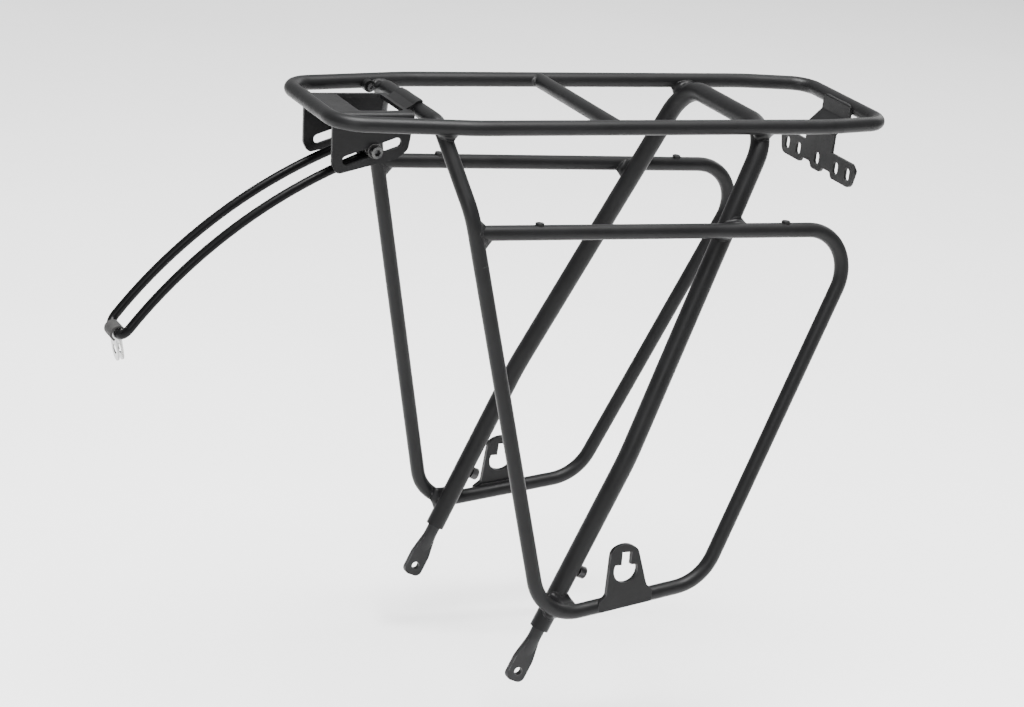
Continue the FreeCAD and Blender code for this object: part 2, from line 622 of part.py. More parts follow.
def make_stay_bracket():
    body = new_body("stay_bracket")
    thick, top, half = dim("bracket_thick"), dim("bracket_top"), dim("bracket_half")
    front, rear = dim("bracket_front"), dim("bracket_rear")
    low = top - dim("bracket_depth")
    rear_plane = FreeCAD.Placement(vec(0, 0, rear), FreeCAD.Rotation())
    fold = new_sketch(body, "YZ_Plane", "stay_bracket_fold", rear_plane)
    inner_bend = dim("bracket_inner_bend")
    outer_bend = inner_bend + thick
    fold.addGeometry(closed_outline(
        [vec(half, low, 0), vec(half, top, 0), vec(-half, top, 0), vec(-half, low, 0),
         vec(thick - half, low, 0), vec(thick - half, top - thick, 0),
         vec(half - thick, top - thick, 0), vec(half - thick, low, 0)],
        [0, outer_bend, outer_bend, 0, 0, inner_bend, inner_bend, 0]), False)
    pad(body, fold, "%s - %s" % (cell("bracket_front"), cell("bracket_rear")))
    trim = new_sketch(body, "XZ_Plane", "stay_bracket_trim")
    around = [vec(rear - thick, low - thick, 0), vec(front + thick, low - thick, 0),
              vec(front + thick, top + 2 * thick, 0), vec(rear - thick, top + 2 * thick, 0)]
    trim.addGeometry(closed_outline(around, [0, 0, 0, 0]), False)
    corners = [(front, top + thick, 0), (front, dim("flange_nose_z"), 0),
               (dim("flange_front_x"), dim("flange_front_z"), dim("flange_front_round")),
               (dim("flange_low_x"), dim("flange_low_z"), dim("flange_low_round")),
               (dim("flange_rear_x"), dim("flange_rear_z"), dim("flange_rear_round")),
               (dim("flange_heel_x"), dim("flange_heel_z"), dim("flange_heel_round")),
               (rear, top - thick, 0), (rear, top + thick, 0)]
    trim.addGeometry(closed_outline([vec(x, z, 0) for x, z, bend in corners],
                                    [bend for x, z, bend in corners]), False)
    pocket_through(body, trim)
    tube_x = dim("joint_x") + dim("leg_slope") * (dim("arch_height") - dim("joint_height"))
    tube_z = dim("arch_height")
    inner = dim("tube_od") / 2 + dim("wrap_gap")
    outer = inner + dim("wrap_thick")
    start_angle, end_angle = math.radians(dim("wrap_start")), math.radians(dim("wrap_end"))
    middle_angle = (start_angle + end_angle) / 2

    def on_wrap(radius, angle):
        return vec(tube_x + radius * math.cos(angle), tube_z + radius * math.sin(angle), 0)

    wrap = new_sketch(body, "XZ_Plane", "stay_bracket_wrap")
    lap = rear + dim("wrap_lap")
    wrap.addGeometry([
        Part.LineSegment(vec(lap, top, 0), vec(lap, top - thick, 0)),
        Part.LineSegment(vec(lap, top - thick, 0), vec(rear, top - thick, 0)),
        Part.LineSegment(vec(rear, top - thick, 0), on_wrap(inner, start_angle)),
        Part.Arc(on_wrap(inner, start_angle), on_wrap(inner, middle_angle), on_wrap(inner, end_angle)),
        Part.LineSegment(on_wrap(inner, end_angle), on_wrap(outer, end_angle)),
        Part.Arc(on_wrap(outer, end_angle), on_wrap(outer, middle_angle), on_wrap(outer, start_angle)),
        Part.LineSegment(on_wrap(outer, start_angle), vec(lap, top, 0)),
    ], False)
    pad(body, wrap, "2 * " + cell("wrap_half"), midplane=True)
    window = new_sketch(body, "XY_Plane", "stay_bracket_window")
    window_half, window_round = dim("window_half"), dim("window_round")
    window_outline = [vec(dim("window_front"), window_half, 0), vec(dim("window_rear"), window_half, 0),
                      vec(dim("window_rear"), -window_half, 0), vec(dim("window_front"), -window_half, 0)]
    window.addGeometry(closed_outline(window_outline, [window_round] * 4), False)
    pocket_through(body, window)
    slot = new_sketch(body, "XZ_Plane", "stay_bracket_slots")
    ahead = vec(dim("slot_front_x"), dim("slot_front_z"), 0)
    behind = vec(dim("slot_rear_x"), dim("slot_rear_z"), 0)
    along = (ahead - behind).normalize()
    across = vec(-along.y, along.x, 0) * (dim("slot_width") / 2)
    round_reach = along * (dim("slot_width") / 2)
    slot.addGeometry([
        Part.LineSegment(behind + across, ahead + across),
        Part.Arc(ahead + across, ahead + round_reach, ahead - across),
        Part.LineSegment(ahead - across, behind - across),
        Part.Arc(behind - across, behind - round_reach, behind + across),
    ], False)
    pocket_through(body, slot)
    return body


# ---- bolts, washers, spacers and nuts that clamp the stay in the slots ----

def bolt_place():
    """Centre of the clamping bolts, on the slot's centre line."""
    share = (dim("bolt_x") - dim("slot_rear_x")) / (dim("slot_front_x") - dim("slot_rear_x"))
    return dim("slot_rear_z") + share * (dim("slot_front_z") - dim("slot_rear_z"))


def ring_piece(label, outer_alias, length, centre, direction):
    """A plain ring, such as a washer or a spacer, around the clamping bolt."""
    body = new_body(label, centre, FreeCAD.Rotation(vec(0, 0, 1), direction))
    section = new_sketch(body, "XY_Plane", label + "_section")
    add_circle(section, vec(0, 0, 0), outer_alias)
    add_circle(section, vec(0, 0, 0), "bolt_dia")
    pad(body, section, length)
    return body


def make_clamp_side(name, side):
    """One bolt with its washer outside the bracket, its spacer beside the stay and its nut inside."""
    x, z = dim("bolt_x"), bolt_place()
    outward = vec(0, side, 0)
    clear = dim("clamp_clearance")
    face = dim("bracket_half") + clear
    washer_out = face + dim("washer_thick")
    eye_face = dim("stay_half") + dim("stay_dia") / 2 + clear
    spacer_length = dim("bracket_half") - dim("bracket_thick") - clear - eye_face
    nut_face = dim("stay_half") - dim("stay_dia") / 2 - clear
    washer_foot = vec(x, side * face, z)
    keep(ring_piece(name + "_stay_washer", "washer_dia", cell("washer_thick"), washer_foot, outward))
    spacer_foot = vec(x, side * eye_face, z)
    keep(ring_piece(name + "_stay_spacer", "washer_dia", str(spacer_length), spacer_foot, outward))
    seat = vec(x, side * washer_out, z)
    shank = washer_out - nut_face + dim("nut_thick") + dim("bolt_end")
    keep(socket_screw(name + "_stay_bolt", "bolt", str(shank), seat, outward))
    inward = outward * -1
    nut_foot = vec(x, side * nut_face, z)
    hexagon = hex_prism(name + "_nut_blank", "nut_across", cell("nut_thick"), nut_foot, inward)
    bore = cylinder(name + "_nut_bore", "bolt_dia", cell("nut_thick"), nut_foot, inward)
    keep(cut(name + "_stay_nut", hexagon, bore))


# ---- stay: a bowed U of round rod with each end turned into a loop round its bolt ----

def stay_turn():
    return FreeCAD.Rotation(vec(0, 1, 0), dim("stay_drop"))


def eye_radius():
    """Centre-line radius of the loop that each arm ends in, around its clamping bolt."""
    return (dim("bolt_dia") + dim("stay_dia")) / 2 + dim("running_clearance")


def on_eye(angle):
    """A point of the loop's centre line; the arm leaves the loop at its foot."""
    return vec(math.cos(math.radians(angle)), math.sin(math.radians(angle)), 0) * eye_radius()


def on_bow(angle):
    """A point of the bowed arm's centre line, in the stay's own frame; it starts under the bolt."""
    bow = dim("stay_bow")
    return vec(bow * math.sin(angle), -eye_radius() - bow * (1 - math.cos(angle)), 0)


def arm_turn():
    """Angle the arm has bowed through where it meets the bend of the cross bar."""
    return math.radians(dim("stay_bow_turn")) - dim("stay_end_bend") / dim("stay_bow")


def make_stay():
    body = new_body("stay_rod", vec(dim("bolt_x"), 0, bolt_place()), stay_turn())
    half, bend, lap = dim("stay_half"), dim("stay_end_bend"), dim("stay_end_lap")
    arm_plane = FreeCAD.Placement(vec(0, 0, -half), FreeCAD.Rotation())
    arm_path = new_sketch(body, "XZ_Plane", "stay_arm_path", arm_plane)
    open_end = dim("stay_eye_end")
    arm_path.addGeometry([
        Part.Arc(on_eye(open_end), on_eye((open_end + dim("eye_foot")) / 2), on_bow(0)),
        Part.Arc(on_bow(0), on_bow(arm_turn() / 2), on_bow(arm_turn())),
    ], False)
    loop_end = on_eye(open_end)
    end_face = FreeCAD.Rotation(vec(0, 1, 0), -open_end)
    arm_ring = new_sketch(body, "XY_Plane", "stay_arm_ring",
                          FreeCAD.Placement(vec(loop_end.x, half, loop_end.y), end_face))
    add_circle(arm_ring, vec(0, 0, 0), "stay_dia")
    arm = body.newObject("PartDesign::AdditivePipe", "stay_arm")
    arm.Profile = arm_ring
    arm.Spine = arm_path
    doc.recompute()
    mirror = body.newObject("PartDesign::Mirrored", "stay_other_arm")
    mirror.Originals = [arm]
    mirror.MirrorPlane = (origin_plane(body, "XZ_Plane"), [""])
    body.Tip = mirror
    doc.recompute()
    arm_end = on_bow(arm_turn())
    pitch = math.degrees(arm_turn())
    plane = FreeCAD.Placement(vec(arm_end.x, 0, arm_end.y), FreeCAD.Rotation(vec(0, 1, 0), pitch))
    end_path = new_sketch(body, "XY_Plane", "stay_end_path", plane)
    nearly = bend - 0.01
    end_path.addGeometry(polyline_with_bends(
        [vec(-lap, half, 0), vec(bend, half, 0), vec(bend, -half, 0), vec(-lap, -half, 0)],
        [nearly, nearly]), False)
    back = lap * math.cos(arm_turn())
    rise = lap * math.sin(arm_turn())
    end_ring = new_sketch(body, "YZ_Plane", "stay_end_ring", FreeCAD.Placement(
        vec(half, arm_end.y + rise, arm_end.x - back), FreeCAD.Rotation(vec(1, 0, 0), pitch)))
    add_circle(end_ring, vec(0, 0, 0), "stay_dia")
    end = body.newObject("PartDesign::AdditivePipe", "stay_end")
    end.Profile = end_ring
    end.Spine = end_path
    doc.recompute()
    return body


def cross_bar_centre():
    bend = dim("stay_end_bend")
    arm_end = on_bow(arm_turn())
    local = vec(arm_end.x + bend * math.cos(arm_turn()), 0, arm_end.y - bend * math.sin(arm_turn()))
    return stay_turn().multVec(local) + vec(dim("bolt_x"), 0, bolt_place())


# ---- tip clip: a steel strip wrapped round the cross bar, with two holed tabs ----

def clip_turn():
    return FreeCAD.Rotation(vec(0, 1, 0), dim("clip_tilt"))


def strip_profile(inner, outer, gap, length):
    """Section of a strip that wraps a bar and runs down as two parallel tabs."""
    inner_reach = math.sqrt(inner ** 2 - gap ** 2)
    thick = outer - inner
    outer_reach = math.sqrt(outer ** 2 - (gap + thick) ** 2)
    return [
        Part.Arc(vec(gap, -inner_reach, 0), vec(0, inner, 0), vec(-gap, -inner_reach, 0)),
        Part.LineSegment(vec(-gap, -inner_reach, 0), vec(-gap, -length, 0)),
        Part.LineSegment(vec(-gap, -length, 0), vec(-gap - thick, -length, 0)),
        Part.LineSegment(vec(-gap - thick, -length, 0), vec(-gap - thick, -outer_reach, 0)),
        Part.Arc(vec(-gap - thick, -outer_reach, 0), vec(0, outer, 0), vec(gap + thick, -outer_reach, 0)),
        Part.LineSegment(vec(gap + thick, -outer_reach, 0), vec(gap + thick, -length, 0)),
        Part.LineSegment(vec(gap + thick, -length, 0), vec(gap, -length, 0)),
        Part.LineSegment(vec(gap, -length, 0), vec(gap, -inner_reach, 0)),
    ]


def make_clip():
    body = new_body("tip_clip", cross_bar_centre(), clip_turn())
    inner = dim("stay_dia") / 2 + dim("running_clearance")
    outer = inner + dim("clip_thick")
    strip = new_sketch(body, "XZ_Plane", "tip_clip_strip")
    strip.addGeometry(strip_profile(inner, outer, dim("clip_gap_half"), dim("clip_length")), False)
    pad(body, strip, cell("clip_width"), midplane=True)
    hole = new_sketch(body, "YZ_Plane", "tip_clip_hole")
    add_circle(hole, vec(0, -dim("clip_hole_drop"), 0), "clip_hole_dia")
    pocket_through(body, hole)
    round_end = new_sketch(body, "YZ_Plane", "tip_clip_round_end")
    half, end = dim("clip_width") / 2, -dim("clip_length")
    shoulder, beyond = end + half, end - half
    corners = [vec(-half, shoulder, 0), vec(-2 * half, shoulder, 0), vec(-2 * half, beyond, 0),
               vec(2 * half, beyond, 0), vec(2 * half, shoulder, 0), vec(half, shoulder, 0)]
    sides = [Part.LineSegment(first, second) for first, second in zip(corners, corners[1:])]
    round_end.addGeometry([Part.Arc(corners[-1], vec(0, end, 0), corners[0])] + sides, False)
    pocket_through(body, round_end)
    return body


def make_jacket():
    body = new_body("clip_jacket", cross_bar_centre(), clip_turn())
    inner = dim("stay_dia") / 2 + dim("running_clearance") + dim("clip_thick")
    outer = inner + dim("jacket_thick")
    opening = -math.radians(dim("jacket_opening"))
    sleeve = new_sketch(body, "XZ_Plane", "clip_jacket_section")

    def at(radius, angle):
        return vec(radius * math.cos(angle), radius * math.sin(angle), 0)

    far = math.pi - opening
    sleeve.addGeometry([
        Part.Arc(at(inner, opening), vec(0, inner, 0), at(inner, far)),
        Part.LineSegment(at(inner, far), at(outer, far)),
        Part.Arc(at(outer, far), vec(0, outer, 0), at(outer, opening)),
        Part.LineSegment(at(outer, opening), at(inner, opening)),
    ], False)
    pad(body, sleeve, cell("jacket_width"), midplane=True)
    return body


# ---- bosses on the deck rails with their screws ----

def make_boss(name, side, deck):
    share = (dim("deck_front") - dim("boss_x")) / (dim("deck_front") - dim("deck_taper_start"))
    rail_half = dim("deck_front_half") + share * (dim("deck_rail_half") - dim("deck_front_half"))
    reach = "%s - %s - (%s + %s) / 4" % (rail_half, cell("boss_inner"), cell("tube_od"), cell("tube_bore"))
    place = vec(dim("boss_x"), side * dim("boss_inner"), dim("boss_z"))
    outward, inward = vec(0, side, 0), vec(0, -side, 0)
    lug = cylinder(name + "_boss_solid", "boss_dia", reach, place, outward)
    thread = cylinder(name + "_boss_thread", "boss_screw_dia", cell("boss_thread_depth"), place, outward)
    tapped = cut(name + "_boss_tapped", lug, thread)
    keep(cut(name + "_deck_boss", tapped, deck))
    keep(socket_screw(name + "_boss_screw", "boss_screw", cell("boss_screw_length"), place, inward))


deck_loop = keep(make_deck_loop())
front_arch = keep(make_front_arch())
keep(make_strut_hoop())
keep(make_crossbar())
for side_name, sign in SIDES:
    plate = keep(make_keyhole_plate(side_name, sign))
    side_loop = keep(cut(side_name + "_side_loop", make_side_loop(side_name, sign), plate))
    keep(make_stop(side_name + "_front_stop", sign, dim("stop_front"), side_loop))
    keep(make_stop(side_name + "_rear_stop", sign, dim("stop_rear"), side_loop))
    keep(make_foot(side_name, sign))
    keep(make_foot_screw(side_name, sign))
    make_clamp_side(side_name, sign)
    make_boss(side_name, sign, deck_loop)
keep(make_light_bracket(deck_loop))
keep(make_stay_bracket())
keep(make_stay())
keep(make_clip())
keep(make_jacket())

doc.recompute()
for item in doc.Objects:
    if "Invalid" in item.State or "Error" in item.State:
        raise ValueError(item.Label + " failed: " + ", ".join(item.State))
for item in kept:
    shape = item.Shape
    if shape.isNull() or not shape.isValid() or len(shape.Solids) != 1:
        raise ValueError(item.Label + " has no single valid solid")
    shape.exportStep("parts/%s.step" % item.Label)
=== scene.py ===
import json
import math

import bmesh
import bpy
import numpy as np
from mathutils import Matrix, Vector


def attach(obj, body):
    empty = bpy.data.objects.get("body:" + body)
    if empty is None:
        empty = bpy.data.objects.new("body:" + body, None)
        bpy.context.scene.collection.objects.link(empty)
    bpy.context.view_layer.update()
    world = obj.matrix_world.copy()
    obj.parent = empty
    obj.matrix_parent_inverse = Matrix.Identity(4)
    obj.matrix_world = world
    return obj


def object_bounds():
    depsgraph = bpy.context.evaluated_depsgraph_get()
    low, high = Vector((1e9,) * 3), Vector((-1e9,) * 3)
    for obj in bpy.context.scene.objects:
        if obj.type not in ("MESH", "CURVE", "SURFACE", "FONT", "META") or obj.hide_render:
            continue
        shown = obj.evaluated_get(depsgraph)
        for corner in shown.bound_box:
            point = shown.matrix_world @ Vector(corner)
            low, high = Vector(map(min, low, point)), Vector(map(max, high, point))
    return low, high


# The look of a bicycle's rear rack: finishes for the CAD nodes, the welds between its tubes,
# and a pale studio to see it in.
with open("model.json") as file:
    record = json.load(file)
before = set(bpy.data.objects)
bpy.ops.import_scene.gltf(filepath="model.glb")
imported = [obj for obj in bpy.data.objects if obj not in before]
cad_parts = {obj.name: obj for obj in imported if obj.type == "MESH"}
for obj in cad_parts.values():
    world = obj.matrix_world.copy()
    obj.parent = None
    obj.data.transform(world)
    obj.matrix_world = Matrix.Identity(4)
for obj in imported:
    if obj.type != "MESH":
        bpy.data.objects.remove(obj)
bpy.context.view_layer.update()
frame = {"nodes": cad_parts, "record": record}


# ---------------------------------------------------------------------------
# Materials
# ---------------------------------------------------------------------------
class Nodes:
    """One material's node tree, with a short call for each texture that the finishes share."""

    def __init__(self, name):
        self.material = bpy.data.materials.new(name)
        self.material.use_nodes = True
        self.tree = self.material.node_tree
        self.tree.nodes.clear()
        self.shader = self.add("ShaderNodeBsdfPrincipled")
        output = self.add("ShaderNodeOutputMaterial")
        self.link(self.shader.outputs["BSDF"], output.inputs["Surface"])
        self.place = self.add("ShaderNodeTexCoord").outputs["Object"]

    def add(self, kind, **values):
        node = self.tree.nodes.new(kind)
        for key, value in values.items():
            setattr(node, key, value)
        return node

    def link(self, source, target):
        self.tree.links.new(source, target)

    def feed(self, target, value):
        """Give an input a number, a colour or another node's output."""
        if isinstance(value, (int, float)):
            target.default_value = value
        elif isinstance(value, tuple):
            target.default_value = (*value, 1.0)
        else:
            self.link(value, target)

    def surface(self, socket, value):
        """Give one input of the surface shader its value."""
        self.feed(self.shader.inputs[socket], value)

    def noise(self, scale, detail, roughness, stretch=None):
        """Cloudy noise, its scale per metre; stretch scales each axis again to draw it out."""
        node = self.add("ShaderNodeTexNoise")
        node.inputs["Scale"].default_value = scale
        node.inputs["Detail"].default_value = detail
        node.inputs["Roughness"].default_value = roughness
        source = self.place
        if stretch:
            mapping = self.add("ShaderNodeMapping")
            mapping.inputs["Scale"].default_value = stretch
            self.link(self.place, mapping.inputs["Vector"])
            source = mapping.outputs["Vector"]
        self.link(source, node.inputs["Vector"])
        return node.outputs["Fac"]

    def cells(self, scale):
        """Distance to the nearest of many scattered points."""
        node = self.add("ShaderNodeTexVoronoi")
        node.inputs["Scale"].default_value = scale
        self.link(self.place, node.inputs["Vector"])
        return node.outputs["Distance"]

    def ramp(self, source, low, high):
        """Colours that run from one (position, colour) stop to another along a value."""
        node = self.add("ShaderNodeValToRGB")
        for element, (position, colour) in zip(node.color_ramp.elements, (low, high)):
            element.position = position
            element.color = (*colour, 1.0)
        self.link(source, node.inputs["Fac"])
        return node.outputs["Color"]

    def grey_ramp(self, source, low, high):
        """Greys that run from one (position, level) stop to another along a value."""
        stops = [(position, (level, level, level)) for position, level in (low, high)]
        return self.ramp(source, *stops)

    def mix(self, factor, first, second):
        """A blend from the first colour to the second."""
        node = self.add("ShaderNodeMix", data_type="RGBA")
        for socket, value in (("Factor", factor), ("A", first), ("B", second)):
            target = next(item for item in node.inputs if item.name == socket and item.enabled)
            self.feed(target, value)
        return next(item for item in node.outputs if item.enabled)

    def arithmetic(self, operation, first, second):
        """The sum or product of two values."""
        node = self.add("ShaderNodeMath", operation=operation)
        self.feed(node.inputs[0], first)
        self.feed(node.inputs[1], second)
        return node.outputs[0]

    def bump(self, depth, *heights):
        """Relief of a depth in metres, from (height, weight) pairs added together."""
        scaled = [self.arithmetic("MULTIPLY", height, weight) for height, weight in heights]
        total = scaled[0]
        for height in scaled[1:]:
            total = self.arithmetic("ADD", total, height)
        node = self.add("ShaderNodeBump")
        node.inputs["Distance"].default_value = depth
        self.link(total, node.inputs["Height"])
        self.surface("Normal", node.outputs["Normal"])

    def edge_mask(self, radius, low, high):
        """White on edges that are sharper than the radius."""
        bevel = self.add("ShaderNodeBevel", samples=6)
        bevel.inputs["Radius"].default_value = radius
        geometry = self.add("ShaderNodeNewGeometry")
        facing = self.add("ShaderNodeVectorMath", operation="DOT_PRODUCT")
        self.link(bevel.outputs["Normal"], facing.inputs[0])
        self.link(geometry.outputs["Normal"], facing.inputs[1])
        return self.grey_ramp(facing.outputs["Value"], (low, 1.0), (high, 0.0))


RUBBED_PAINT = (0.12, 0.12, 0.12)
RUBBED_OXIDE = (0.16, 0.155, 0.15)


def powder_coat(name, dark, light, rough, gloss, wear):
    """Baked powder: fine orange peel, a faint cloudy tone and sharp edges rubbed greyer."""
    paint = Nodes(name)
    peel = paint.noise(620.0, detail=2.0, roughness=0.5)
    grain = paint.noise(2600.0, detail=2.0, roughness=0.6)
    patch = paint.noise(26.0, detail=4.0, roughness=0.6)
    tone = paint.ramp(patch, (0.32, dark), (0.72, light))
    edges = paint.edge_mask(0.0006, low=0.90, high=0.985)
    breakup = paint.grey_ramp(paint.noise(210.0, detail=4.0, roughness=0.7), (0.46, 0.0), (0.66, 1.0))
    rubbed = paint.arithmetic("MULTIPLY", paint.arithmetic("MULTIPLY", edges, breakup), wear)
    smear = paint.noise(60.0, detail=5.0, roughness=0.62)
    paint.surface("Base Color", paint.mix(rubbed, tone, RUBBED_PAINT))
    paint.surface("Roughness", paint.grey_ramp(smear, (0.3, rough - 0.05), (0.7, rough + 0.07)))
    paint.surface("Specular IOR Level", gloss)
    paint.bump(0.00009, (peel, 0.7), (grain, 0.3))
    return paint.material


def gloss_black(name):
    """Dipped gloss enamel on drawn rod: a gently uneven sheen and tiny dust nibs."""
    enamel = Nodes(name)
    sheen = enamel.noise(180.0, detail=3.0, roughness=0.6)
    nibs = enamel.grey_ramp(enamel.cells(900.0), (0.0, 1.0), (0.16, 0.0))
    patch = enamel.noise(34.0, detail=3.0, roughness=0.6)
    tone = enamel.ramp(patch, (0.3, (0.0012, 0.0012, 0.0014)), (0.75, (0.0026, 0.0026, 0.0028)))
    enamel.surface("Base Color", tone)
    enamel.surface("Roughness", enamel.grey_ramp(sheen, (0.3, 0.26), (0.75, 0.36)))
    enamel.surface("Specular IOR Level", 0.08)
    enamel.bump(0.00005, (sheen, 0.6), (nibs, 0.12))
    return enamel.material


def bright_metal(name, dark, light, rough, brush):
    """Plated or stainless steel: fine brush marks over a cloudy tone."""
    metal = Nodes(name)
    marks = metal.noise(900.0, detail=4.0, roughness=0.7, stretch=brush)
    cloud = metal.noise(150.0, detail=4.0, roughness=0.6)
    metal.surface("Base Color", metal.ramp(cloud, (0.3, dark), (0.72, light)))
    metal.surface("Metallic", 1.0)
    metal.surface("Roughness", metal.grey_ramp(marks, (0.3, rough - 0.07), (0.7, rough + 0.1)))
    metal.bump(0.00004, (marks, 0.7), (cloud, 0.3))
    return metal.material


def black_oxide(name):
    """Blacked steel: fine pits, an uneven black and bare metal on sharp edges."""
    metal = Nodes(name)
    pits = metal.noise(1400.0, detail=4.0, roughness=0.7)
    patch = metal.noise(220.0, detail=3.0, roughness=0.6)
    tone = metal.ramp(patch, (0.3, (0.018, 0.018, 0.02)), (0.75, (0.045, 0.044, 0.043)))
    edges = metal.edge_mask(0.0004, low=0.88, high=0.985)
    metal.surface("Base Color", metal.mix(edges, tone, RUBBED_OXIDE))
    metal.surface("Metallic", 0.75)
    metal.surface("Roughness", metal.grey_ramp(pits, (0.3, 0.32), (0.75, 0.5)))
    metal.bump(0.00004, (pits, 1.0))
    return metal.material


def rubber(name):
    """Matt rubber: a fine grain and a dusty, uneven black."""
    skin = Nodes(name)
    grain = skin.noise(1800.0, detail=3.0, roughness=0.7)
    patch = skin.noise(240.0, detail=3.0, roughness=0.6)
    tone = skin.ramp(patch, (0.3, (0.012, 0.012, 0.012)), (0.8, (0.03, 0.029, 0.028)))
    skin.surface("Base Color", tone)
    skin.surface("Roughness", skin.grey_ramp(grain, (0.3, 0.62), (0.75, 0.82)))
    skin.surface("Specular IOR Level", 0.35)
    skin.bump(0.00008, (grain, 1.0))
    return skin.material


def pale_floor(name):
    """Matt white, very faintly clouded."""
    sheet = Nodes(name)
    cloud = sheet.noise(3.0, detail=4.0, roughness=0.5)
    patch = sheet.noise(40.0, detail=3.0, roughness=0.5)
    sheet.surface("Base Color", sheet.ramp(cloud, (0.3, (0.90, 0.90, 0.90)), (0.7, (0.93, 0.93, 0.93))))
    sheet.surface("Roughness", sheet.grey_ramp(patch, (0.3, 0.75), (0.7, 0.85)))
    sheet.surface("Specular IOR Level", 0.2)
    return sheet.material


FRAME_PAINT = powder_coat("satin_powder_coat", dark=(0.0028, 0.0028, 0.003),
                          light=(0.0052, 0.0052, 0.0055), rough=0.42, gloss=0.15, wear=0.3)
FOOT_PAINT = powder_coat("forged_foot_coat", dark=(0.006, 0.006, 0.0065),
                         light=(0.011, 0.011, 0.0115), rough=0.5, gloss=0.18, wear=0.7)
ZINC_PLATE = bright_metal("zinc_plated_steel", dark=(0.03, 0.03, 0.032),
                          light=(0.10, 0.10, 0.098), rough=0.26, brush=(1.0, 5.0, 1.0))
CLIP_STEEL = bright_metal("stainless_strip", dark=(0.22, 0.22, 0.22),
                          light=(0.42, 0.42, 0.41), rough=0.22, brush=(1.0, 0.2, 4.0))
BY_SLOT = {
    "frame_paint": FRAME_PAINT,
    "foot_paint": FOOT_PAINT,
    "stay_paint": gloss_black("gloss_enamel"),
    "bright_steel": ZINC_PLATE,
    "black_steel": black_oxide("black_oxide_steel"),
    "clip_steel": CLIP_STEEL,
    "clip_rubber": rubber("matt_rubber"),
}
slot_of = {item["node"]: item["material_slot"] for item in frame["record"]["subparts"]}
for name, node in frame["nodes"].items():
    node.data.materials.clear()
    node.data.materials.append(BY_SLOT[slot_of[name]])


# ---------------------------------------------------------------------------
# Sizes of the tubes that the welds join, in millimetres of the row frame
# ---------------------------------------------------------------------------
MM = 0.001
TUBE_RADIUS = 5.0
STRUT_RADIUS = 6.5

# the strut hoop: y and z of its corners, on a plane that leans back as it rises
STRUT_LEAN = math.radians(22.5)
STRUT_HALF, STRUT_FOOT_Z, STRUT_KNEE_Z = 87.2, 20.0, 150.0
STRUT_TOP_HALF, STRUT_TOP_Z = 57.0, 366.5
STRUT_KNEE_BEND, STRUT_TOP_BEND = 150.0, 26.0

# the deck, from its rear bar to its nose
DECK_Z = 369.0
DECK_REAR, DECK_REAR_HALF = -246.0, 51.5
RAIL_END, RAIL_START, RAIL_HALF = -197.0, 63.0, 59.6
DECK_FRONT, DECK_FRONT_HALF = 151.8, 47.6
CROSSBAR_X = -37.0

# the joint of each leg with its pannier rail, and the side loop's plane through it
JOINT_X, JOINT_HALF, JOINT_Z = 66.0, 80.6, 306.8
LOOP_TOE, LOOP_LEAN = math.radians(0.9), math.radians(4.3)
LOOP_FRONT_BOTTOM = (-6.0, 42.0)
LOOP_REAR_BOTTOM = (-127.2, 59.3)
LOOP_REAR_TOP = (-226.4, 302.0)
LOOP_FRONT_BEND = 32.0
LEG_OVERRUN, RAIL_OVERRUN = 0.12, 0.05  # shares of their length, so that a weld ring closes

# the bottom rail of a side loop where the keyhole plate stands: x and z, and the bead's offset
PLATE_REAR, PLATE_FRONT = (-82.0, 52.5), (-50.0, 48.3)
PLATE_BEAD_OUT, PLATE_BEAD_RISE = 0.7, 5.2

# the front arch: y and z of its corners, on a plane that follows the legs' slope
LEG_SLOPE = 0.272
ARCH_CORNER_HALF, ARCH_CORNER_Z = 45.9, 368.4
ARCH_KNEE_HALF, ARCH_KNEE_Z = 81.4, 317.9
ARCH_BEND = 16.0


def unit(vector):
    return vector / np.linalg.norm(vector)


def bent_line(points, bends, steps=16):
    """Points along straight runs joined by tangent arcs."""
    line = [np.array(points[0], float)]
    for before, corner, after, bend in zip(points, points[1:], points[2:], bends):
        corner = np.array(corner, float)
        back, ahead = unit(before - corner), unit(after - corner)
        half = math.acos(float(back @ ahead)) / 2
        centre = corner + unit(back + ahead) * bend / math.sin(half)
        first = corner + back * bend / math.tan(half) - centre
        last = corner + ahead * bend / math.tan(half) - centre
        for step in range(steps + 1):
            share = step / steps
            line.append(centre + unit(first * (1 - share) + last * share) * bend)
    line.append(np.array(points[-1], float))
    return np.array(line)


def strut_point(y, z):
    """A point of the strut hoop's leaning plane."""
    return np.array((-z * math.tan(STRUT_LEAN), y, z))


def arch_point(y, z):
    """A point of the front arch's leaning plane."""
    return np.array((JOINT_X + (z - JOINT_Z) * LEG_SLOPE, y, z))


def loop_turn(side):
    """How a side loop's plane toes in and leans; side is 1 for the left and -1 for the right."""
    return Matrix.Rotation(side * LOOP_TOE, 3, "Z") @ Matrix.Rotation(side * LOOP_LEAN, 3, "X")


def loop_point(x, z, side):
    """A point of a side loop's plane, from its x and z before the loop toes in and leans."""
    run = (x - JOINT_X) / math.cos(LOOP_TOE)
    rise = (z - JOINT_Z) / math.cos(LOOP_LEAN)
    return np.array(loop_turn(side) @ Vector((run, 0, rise))) + (JOINT_X, side * JOINT_HALF, JOINT_Z)


def loop_out(side):
    """Outward direction square to a side loop's plane."""
    return np.array(loop_turn(side) @ Vector((0, side, 0)))


